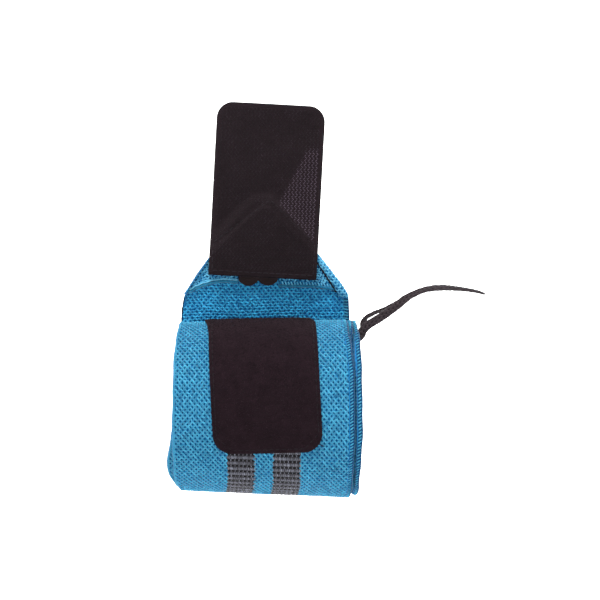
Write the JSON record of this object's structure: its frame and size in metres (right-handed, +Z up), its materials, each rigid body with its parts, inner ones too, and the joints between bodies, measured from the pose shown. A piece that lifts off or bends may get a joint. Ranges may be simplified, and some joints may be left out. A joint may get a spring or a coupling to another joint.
{
  "type": "wrist wrap",
  "caption": "Elastic wrist wrap for lifting, wound three turns round a wrist, with a loop-pile patch, a hook closure tab held up and a thumb loop.",
  "frame": {"origin": "middle of the wrist's hollow: halfway along the band's width, at the centre of the oval", "axes": "+X along the wrist towards the hand and the thumb loop, +Z up towards the raised closure tab, the patch faces -Y"},
  "size_m": [0.1343, 0.0593, 0.1698],
  "materials": {
    "elastic_webbing": "woven elastic, light blue, with two dark grey stripes on its outer face",
    "loop_pile": "soft brushed loop pile, black",
    "hook_tape": "woven nylon hook tape, black, matt",
    "tail_tape": "black nylon tape, matt",
    "braided_elastic": "flat braided elastic, black"
  },
  "bodies": {
    "root": {"band": "elastic_webbing", "loop_patch": "loop_pile", "hook_tab": "hook_tape", "tab_tail": "tail_tape", "thumb_loop": "braided_elastic"}
  },
  "joints": []
}
